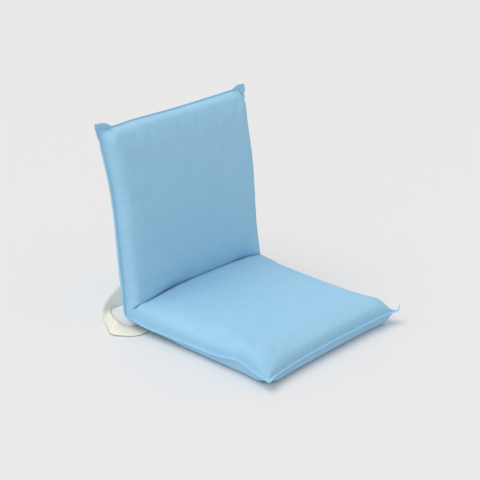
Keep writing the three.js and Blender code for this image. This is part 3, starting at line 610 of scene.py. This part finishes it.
def stitch_row():
    """A row of topstitches: a mask of short dashes at one distance from an edge, along a length."""
    tree, given, result = node_group("stitch_row", [
        ("NodeSocketFloat", "From edge"), ("NodeSocketFloat", "Along"), ("NodeSocketFloat", "Place"),
        ("NodeSocketFloat", "Pitch"), ("NodeSocketFloat", "Half width")], [("NodeSocketFloat", "Mask")])
    beside = sum_of(tree, "ABSOLUTE", sum_of(tree, "SUBTRACT", given["From edge"], given["Place"]))
    line = sum_of(tree, "SUBTRACT", 1.0, sum_of(tree, "DIVIDE", beside, given["Half width"]))
    turn = sum_of(tree, "DIVIDE", sum_of(tree, "MULTIPLY", given["Along"], 2 * np.pi), given["Pitch"])
    dash = ramp(tree, sum_of(tree, "COSINE", turn), -0.75, -0.45)
    tree.links.new(sum_of(tree, "MULTIPLY", sum_of(tree, "MAXIMUM", line, 0.0), dash), result["Mask"])
    return tree


def new_material(name):
    """A material with its tree and its shader."""
    material = bpy.data.materials.new(name)
    material.use_nodes = True
    return material, material.node_tree, material.node_tree.nodes["Principled BSDF"]


weave_group, stitch_group = plain_weave(), stitch_row()


def weave(tree, place, pitch):
    """The plain weave at a pitch."""
    return add_node(tree, "ShaderNodeGroup", {"Place": place, "Pitch": pitch}, node_tree=weave_group)


def stitch_mask(tree, from_edge, along, place, pitch, half_width):
    """Where the topstitches are."""
    given = {"From edge": from_edge, "Along": along, "Place": place, "Pitch": pitch, "Half width": half_width}
    return add_node(tree, "ShaderNodeGroup", given, node_tree=stitch_group).outputs[0]


def cloth_material():
    """Light-blue nylon: a fine weave with a faint sheen, topstitched along the edge seam, and
    short tight wrinkles that run in from the seam."""
    material, tree, shader = new_material("light_blue_nylon")
    place = add_node(tree, "ShaderNodeUVMap", {}, uv_map="cloth").outputs[0]
    flat = add_node(tree, "ShaderNodeSeparateXYZ", {0: place})
    from_side = add_node(tree, "ShaderNodeAttribute", {}, attribute_name="from_side").outputs["Fac"]
    from_end = add_node(tree, "ShaderNodeAttribute", {}, attribute_name="from_end").outputs["Fac"]
    threads = weave(tree, place, 0.0007)
    rows, stretched = [], []
    for edge, along in ((from_side, flat.outputs[1]), (from_end, flat.outputs[0])):
        rows.append(stitch_mask(tree, edge, along, place=0.0058, pitch=0.0036, half_width=0.0007))
        spread = add_node(tree, "ShaderNodeCombineXYZ", {0: sum_of(tree, "MULTIPLY", edge, 14.0),
                                                         1: sum_of(tree, "MULTIPLY", along, 95.0)})
        stretched.append(noise(tree, spread.outputs[0], 1.0, 2.0))
    stitches = sum_of(tree, "MAXIMUM", *rows)
    nearest = sum_of(tree, "MINIMUM", from_side, from_end)
    tight = sum_of(tree, "MULTIPLY", ramp(tree, nearest, 0.006, 0.009),
                   ramp(tree, nearest, 0.008, 0.030, 1.0, 0.0))
    side_nearer = sum_of(tree, "LESS_THAN", from_side, from_end)
    wrinkle = add_node(tree, "ShaderNodeMix", {0: side_nearer, 2: stretched[1], 3: stretched[0]}).outputs[0]
    wrinkle = sum_of(tree, "MULTIPLY", wrinkle, tight)
    folds = noise(tree, place, 11.0, 2.0, 0.6)
    height = sum_of(tree, "MULTIPLY", stitches, 0.0004)
    height = sum_of(tree, "MULTIPLY_ADD", threads.outputs["Height"], 0.00004, height)
    height = sum_of(tree, "ADD", height, sum_of(tree, "MULTIPLY", wrinkle, 0.0022))
    height = sum_of(tree, "ADD", height, sum_of(tree, "MULTIPLY", folds, 0.0007))
    bump = add_node(tree, "ShaderNodeBump", {"Height": height, "Strength": 1.0, "Distance": 1.0})
    mottle = threads.outputs["Mottle"]
    tone = mix_colours(tree, ramp(tree, mottle, 0.3, 0.7), (0.324, 0.602, 0.810, 1), (0.344, 0.624, 0.830, 1))
    thread = mix_colours(tree, sum_of(tree, "MULTIPLY", stitches, 0.55), tone, (0.47, 0.72, 0.88, 1))
    tree.links.new(thread, shader.inputs["Base Color"])
    tree.links.new(ramp(tree, mottle, 0.3, 0.7, 0.62, 0.72), shader.inputs["Roughness"])
    tree.links.new(bump.outputs[0], shader.inputs["Normal"])
    shader.inputs["Sheen Weight"].default_value = 0.12
    shader.inputs["Sheen Roughness"].default_value = 0.45
    shader.inputs["Specular IOR Level"].default_value = 0.35
    return material


cover_mesh.materials.append(cloth_material())

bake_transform(cloth_cover)
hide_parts("seat_cover_top", "seat_cover_underside", "back_cover_front", "back_cover_rear",
            "cover_crease", "cover_hinge_wrap")

# ------------------------------------------------------------
# Foam: an open-cell sheet above and below each frame, cut with rounded edges and crowned by the
# tight cover. Each lies against the tubes and stops short of the hinge.
# ------------------------------------------------------------
foam_base = 0.0086
foam_start = 0.052
foam_border = 0.026
foam_end_border = 0.028
foam_clearance = 0.003
foam_waist = 0.002
foam_dome = 0.12
foam_edge_height = 0.35
foam_edge_run = 0.016
foam_under_run = 0.006
foam_fold_slope = np.tan(np.radians(9))
foam_columns = 44
foam_rows = 44


def foam_sheet(name, pad, side, body, node):
    """A closed pad: its face follows the cover less a clearance, its other face lies on the frame,
    and both fall to the middle of its rounded edge. Its sides pull in between the corners. The
    face that folds in stays under a slope from the hinge, so that the two pads never meet."""
    turn = np.linspace(-1, 1, foam_columns + 1)
    share = np.sin(turn * np.pi / 2)[None, :] * 0.5 + turn[None, :] * 0.5
    reach = (1 - np.cos(np.linspace(0, np.pi, foam_rows + 1)))[:, None] / 2
    end = pad["ends"].min() - seam_flange - foam_end_border
    place = foam_start + (end - foam_start) * reach
    waist = np.minimum(*[soft_curve(place, pad["places"], pad[which]) for which in ("left", "right")])
    width = waist - seam_flange - foam_border - foam_waist * np.sin(np.pi * reach)
    x, place = share * width, place + 0 * share
    edge = np.minimum(width - np.abs(x), np.minimum(place - foam_start, end - place))
    bow = bow_height(pad, place)
    crown = (pad["crown"] if side > 0 else pad["rear"]) - foam_clearance - foam_base
    swell = 1 - foam_dome + foam_dome * (1 - share ** 2) * np.sin(np.pi * reach)
    middle = foam_base + foam_edge_height * crown
    face = middle + (foam_base + crown * swell - middle) * roll(edge, foam_edge_run)
    if side > 0:
        slope = pivot_rise + (place - corner_run) * foam_fold_slope
        face = np.minimum(face, slope - foam_clearance - bow)
    under = middle - (middle - foam_base) * roll(edge, foam_under_run)
    lay = lambda height: np.concatenate([x[..., None], pad_point(pad, place, bow + side * height)], -1)
    outer, inner = lay(face), lay(under)
    if (side > 0) != (pad is back_pad):
        outer, inner = outer[:, ::-1], inner[:, ::-1]
    flat = np.stack([x, place], -1)
    mesh = bag_mesh(name, outer, inner, flat, flat, {})
    piece = new_piece(name, mesh)
    mesh.materials.append(foam_stuff)
    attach(piece, body)
    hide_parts(node)


def foam_material():
    """Cream open-cell foam: small round pores, darkened with painted shade, and a slightly yellowed tone in patches.
    """
    material, tree, shader = new_material("cream_foam")
    place = add_node(tree, "ShaderNodeTexCoord", {}).outputs["Object"]
    pores = add_node(tree, "ShaderNodeTexVoronoi", {"Vector": place, "Scale": 700.0}).outputs["Distance"]
    patches = ramp(tree, noise(tree, place, 9.0, 3.0), 0.35, 0.65)
    tone = mix_colours(tree, patches, (0.80, 0.72, 0.56, 1), (0.86, 0.82, 0.70, 1))
    # Painted shade: the pores' hollows are coloured dark brown where shade would fall in them.
    pore_shaded_tone = mix_colours(tree, ramp(tree, pores, 0.15, 0.5), (0.45, 0.38, 0.27, 1), tone)
    bump = add_node(tree, "ShaderNodeBump", {"Height": sum_of(tree, "MULTIPLY", pores, 0.0005), "Distance": 1.0})
    tree.links.new(pore_shaded_tone, shader.inputs["Base Color"])
    tree.links.new(bump.outputs[0], shader.inputs["Normal"])
    shader.inputs["Roughness"].default_value = 0.95
    return material


foam_stuff = foam_material()
foam_sheet("foam_seat_upper", seat_pad, 1, "seat", "seat_foam_top")
foam_sheet("foam_seat_lower", seat_pad, -1, "seat", "seat_foam_base")
foam_sheet("foam_back_front", back_pad, 1, "back", "back_foam_front")
foam_sheet("foam_back_rear", back_pad, -1, "back", "back_foam_rear")

# ------------------------------------------------------------
# Carry strap: off-white webbing, 38 mm wide. Each end is sewn flat under a rear corner of the
# seat. It runs out sideways, turns back at a soft corner, rises on its edge and passes behind.
# ------------------------------------------------------------
strap_width = 0.038
strap_thickness = 0.0015
strap_along = 260
strap_across = 10
strap_mean = 7
strap_softenings = 2
selvedge_power = 8
floor_clearance = 0.0009

# Places of the outer and the inner edge on the left half, from the root to the middle, in mm
strap_outer = np.array([
    [-150, 158, 1.0], [-175, 157, 1.0], [-186, 156, 1.0], [-197, 155, 1.0], [-209, 154.5, 1.0], [-222, 165, 1.0],
    [-232, 176, 1.0], [-241, 188, 1.0], [-250, 203, 1.0], [-236.5, 224.5, 1.0], [-224, 247.5, 1.0], [-213, 267, 1.0],
    [-204, 281, 2], [-197, 291, 6], [-190, 298, 11], [-179, 304, 17], [-166.5, 309.5, 22], [-150.5, 316.5, 26],
    [-134, 323, 29], [-119.5, 327.5, 31], [-105.5, 328, 32.5], [-85, 327, 33], [-60, 326, 33], [0, 325, 33]])
strap_inner = np.array([
    [-150, 196, 1.0], [-174, 195, 1.0], [-179, 193, 1.0], [-184, 191, 1.4], [-189, 189, 4.2], [-201.5, 198, 6.2],
    [-209, 205.5, 9.7], [-217, 212, 18.5], [-224, 216, 26], [-206, 242.5, 16.5], [-190, 264, 7.8], [-179, 282, 2],
    [-170, 294, 0.8], [-163, 300, 0.8], [-157, 302, 0.8], [-149, 302, 0.8], [-141, 301, 0.8], [-131, 302, 0.8],
    [-122, 304, 0.8], [-112, 307, 0.8], [-101, 308.5, 0.8], [-82, 307.5, 0.8], [-59, 307, 0.8], [0, 306, 0.8]])


def strap_edges():
    """The outer edge from end to end, the direction from it to the inner edge, and the length run:
    the left half's places, mirrored, at even steps and softened by running means."""
    edges = [np.concatenate([half, half[-2::-1] * np.array([-1, 1, 1])]) * 0.001
             for half in (strap_outer, strap_inner)]
    middle = (edges[0] + edges[1]) / 2
    travel = np.concatenate([[0], np.cumsum(np.linalg.norm(np.diff(middle, axis=0), axis=1))])
    even = np.linspace(0, travel[-1], strap_along + 1)
    lines = []
    for edge in edges:
        line = np.stack([np.interp(even, travel, edge[:, k]) for k in range(3)], -1)
        for _ in range(strap_softenings):
            side = strap_mean // 2
            padded = np.concatenate([2 * line[:1] - line[side:0:-1], line, 2 * line[-1:] - line[-2:-2 - side:-1]])
            even_weights = np.ones(strap_mean) / strap_mean
            line = np.stack([np.convolve(padded[:, k], even_weights, "valid") for k in range(3)], -1)
        lines.append(line)
    outer, inner = lines
    across_strap = inner - outer
    across_strap /= np.linalg.norm(across_strap, axis=1)[:, None]
    return outer, across_strap, even


def strap_mesh():
    """Webbing as a closed strip: two faces half a thickness from the middle, with rounded selvedges,
    lifted where it would go into the floor. Its points keep their length and place across as UV."""
    outer, across_strap, even = strap_edges()
    share = np.linspace(0, 1, strap_across + 1)
    middle = outer[:, None] + across_strap[:, None] * (share * strap_width)[None, :, None]
    ahead = np.gradient(middle, axis=0)
    facing = np.cross(ahead, across_strap[:, None])
    facing /= np.linalg.norm(facing, axis=-1)[..., None]
    half = strap_thickness / 2 * (1 - np.abs(2 * share - 1) ** selvedge_power)[None, :, None]
    middle[..., 2] += np.maximum(floor_clearance - (middle[..., 2] - half[..., 0]), 0)
    flat = np.stack([even[:, None] + 0 * share, share * strap_width + 0 * even[:, None]], -1)
    return bag_mesh("carry_strap_webbing", middle - facing * half, middle + facing * half, flat, flat, {})


def webbing_material():
    """Off-white webbing: a coarse weave with painted shade, darker and warmer, in its hollows, and two rows of
    stitches at its first root."""
    material, tree, shader = new_material("off_white_webbing")
    place = add_node(tree, "ShaderNodeUVMap", {}, uv_map="cloth").outputs[0]
    threads = weave(tree, place, 0.0016)
    flat = add_node(tree, "ShaderNodeSeparateXYZ", {0: place})
    from_middle = sum_of(tree, "ABSOLUTE", sum_of(tree, "SUBTRACT", flat.outputs[1], strap_width / 2))
    stitches = stitch_mask(tree, from_middle, flat.outputs[0], place=strap_width / 2 - 0.004,
                           pitch=0.0040, half_width=0.0008)
    stitches = sum_of(tree, "MULTIPLY", stitches, ramp(tree, flat.outputs[0], 0.028, 0.030, 1.0, 0.0))
    relief = threads.outputs["Height"]
    # Painted shade: the weave's hollows are coloured darker and warmer than its raised threads.
    tone = mix_colours(tree, ramp(tree, relief, 0.2, 0.9), (0.84, 0.80, 0.66, 1), (0.92, 0.90, 0.80, 1))
    height = sum_of(tree, "MULTIPLY_ADD", relief, 0.00018, sum_of(tree, "MULTIPLY", stitches, 0.0004))
    bump = add_node(tree, "ShaderNodeBump", {"Height": height, "Distance": 1.0})
    tree.links.new(tone, shader.inputs["Base Color"])
    tree.links.new(ramp(tree, threads.outputs["Mottle"], 0.3, 0.7, 0.78, 0.9), shader.inputs["Roughness"])
    tree.links.new(bump.outputs[0], shader.inputs["Normal"])
    shader.inputs["Sheen Weight"].default_value = 0.2
    return material


carry_strap = new_piece("carry_strap_webbing", strap_mesh())
carry_strap.data.materials.append(webbing_material())
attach(carry_strap, "seat")
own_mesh(carry_strap)
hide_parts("carry_strap")

# ------------------------------------------------------------
# Steelwork inside the cover: bent tubes in grey paint, and the ratchet hinges' pressed plates,
# pawls, pins and rivets with zinc plating. They are the solids' own shapes, given their looks here.
# ------------------------------------------------------------


def steel_material(name, colour, worn_colour, roughness, metallic, grain_scale, grain_height, wear):
    """Steel with a fine grain in its height, a mottled tone and gloss, and wear on its edges: where
    the surface bends sharply, the tone turns to the worn one."""
    material, tree, shader = new_material(name)
    place = add_node(tree, "ShaderNodeTexCoord", {}).outputs["Object"]
    grain = sum_of(tree, "MULTIPLY", noise(tree, place, grain_scale, 3.0), grain_height)
    patches = noise(tree, place, 60.0, 4.0)
    edge = add_node(tree, "ShaderNodeNewGeometry", {}).outputs["Pointiness"]
    worn = sum_of(tree, "MULTIPLY", ramp(tree, edge, 0.53, 0.58), ramp(tree, patches, 0.35, 0.6, 0.0, wear))
    bump = add_node(tree, "ShaderNodeBump", {"Height": grain, "Distance": 1.0})
    tree.links.new(mix_colours(tree, worn, colour, worn_colour), shader.inputs["Base Color"])
    tree.links.new(ramp(tree, patches, 0.3, 0.7, roughness - 0.06, roughness + 0.08), shader.inputs["Roughness"])
    tree.links.new(bump.outputs[0], shader.inputs["Normal"])
    shader.inputs["Metallic"].default_value = metallic
    return material


painted = steel_material("grey_paint", (0.090, 0.100, 0.106, 1), (0.35, 0.35, 0.35, 1), roughness=0.42,
                         metallic=0.0, grain_scale=900.0, grain_height=0.00006, wear=0.5)
plated = steel_material("zinc_plating", (0.52, 0.53, 0.54, 1), (0.66, 0.66, 0.66, 1), roughness=0.34,
                        metallic=1.0, grain_scale=1600.0, grain_height=0.00003, wear=0.8)
for name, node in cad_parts.items():
    finish = painted if name.endswith("_tube") or "_cross_tube" in name else plated
    if not node.hide_render:
        node.material_slots[0].material = finish

# ------------------------------------------------------------
# Leaf springs: a strip of blued steel hooked round its pin on the back, with its leaf on the
# pawl's back. On the real chair it bends as the pawl lifts or drops; here it keeps its rest shape.
# ------------------------------------------------------------
spring_width = 0.003
spring_thickness = 0.0006
spring_middle = 0.172
spring_pin = np.array([0.22106, 0.06679])
spring_hook_radius = 0.0018
spring_hook_arc = np.radians([182, -27])
spring_leaf = np.array([[0.22404, 0.0441], [0.22337, 0.0373]])
spring_steps = 24
spring_columns = 6


def leaf_spring(name, x):
    """A strip along its middle line: an arc round the pin, and then straight lines. Each side lies
    half a thickness from the line, rounded off at the strip's edges."""
    turn = np.linspace(*spring_hook_arc, spring_steps + 1)[:, None]
    hook = spring_pin + spring_hook_radius * np.concatenate([np.cos(turn), np.sin(turn)], -1)
    share = np.linspace(0, 1, spring_steps + 1)[1:, None]
    line = np.concatenate([hook, hook[-1] + (spring_leaf[0] - hook[-1]) * share,
                           spring_leaf[0] + (spring_leaf[1] - spring_leaf[0]) * share])
    ahead = np.gradient(line, axis=0)
    ahead /= np.linalg.norm(ahead, axis=1)[:, None]
    facing = np.stack([-ahead[:, 1], ahead[:, 0]], -1)
    across_strip = np.linspace(-1, 1, spring_columns + 1)
    half = spring_thickness / 2 * (1 - np.abs(across_strip) ** 6)
    travel = np.concatenate([[0], np.cumsum(np.linalg.norm(np.diff(line, axis=0), axis=1))])[:, None]
    flat = np.stack([travel + 0 * across_strip, across_strip * spring_width / 2 + 0 * travel], -1)
    lay = lambda side: np.concatenate([(x + flat[..., 1])[..., None],
                                       line[:, None] + side * half[None, :, None] * facing[:, None]], -1)
    return bag_mesh(name, lay(1), lay(-1), flat, flat, {})


blued = steel_material("blued_spring", (0.13, 0.14, 0.17, 1), (0.40, 0.40, 0.41, 1), roughness=0.36,
                       metallic=1.0, grain_scale=2200.0, grain_height=0.00002, wear=0.8)
for name, x in (("left", spring_middle), ("right", -spring_middle)):
    leaf = new_piece(f"leaf_spring_{name}", leaf_spring(f"leaf_spring_{name}", x))
    leaf.data.materials.append(blued)
    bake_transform(leaf)
    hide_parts(f"pawl_spring_{name}")

# ------------------------------------------------------------
# Studio: a wide pale floor under an even white sky, with a broad soft lamp from above and a weak one
# from the left. The camera stands before the near corner, at the height that the picture shows.
# ------------------------------------------------------------
floor_half = 6
sky_strength = 0.60
camera_azimuth = np.radians(-46.74)
camera_elevation = np.radians(21.88)
camera_distance = 2.538
camera_target = Vector((-0.0716, -0.005, 0.2229))
focal_pixels = 1246.5
picture_pixels = 480
sensor_width = 36

floor_mesh = bpy.data.meshes.new("floor")
floor_mesh.from_pydata([(x * floor_half, y * floor_half, 0) for x, y in ((-1, -1), (1, -1), (1, 1), (-1, 1))],
                       [], [(0, 1, 2, 3)])
floor = new_piece("floor", floor_mesh)
pale_floor, _, floor_shader = new_material("pale_floor")
floor_shader.inputs["Base Color"].default_value = (0.83, 0.82, 0.82, 1)
floor_mesh.materials.append(pale_floor)

world = bpy.data.worlds.new("studio")
bpy.context.scene.world = world
world.use_nodes = True
world.node_tree.nodes["Background"].inputs["Color"].default_value = (1, 1, 1, 1)
world.node_tree.nodes["Background"].inputs["Strength"].default_value = sky_strength

for name, energy, angle, direction in (("soft_overhead", 1.35, 55, (0.36, -0.22, -1)),
                                       ("soft_fill", 0.30, 60, (0.75, 0.35, -0.25))):
    lamp = new_piece(name, bpy.data.lights.new(name, "SUN"))
    lamp.data.energy = energy
    lamp.data.angle = np.radians(angle)
    lamp.rotation_euler = Vector(direction).to_track_quat("-Z", "Y").to_euler()

back_off = Vector((np.sin(camera_azimuth) * np.cos(camera_elevation),
                   -np.cos(camera_azimuth) * np.cos(camera_elevation), np.sin(camera_elevation)))
camera = new_piece("camera", bpy.data.cameras.new("camera"))
camera.data.lens = focal_pixels / picture_pixels * sensor_width
camera.data.sensor_width = sensor_width
camera.location = camera_target + back_off * camera_distance
camera.rotation_mode = "QUATERNION"
camera.rotation_quaternion = (-back_off).to_track_quat("-Z", "Y")
bpy.context.scene.camera = camera
bpy.context.scene.view_settings.view_transform = "Standard"
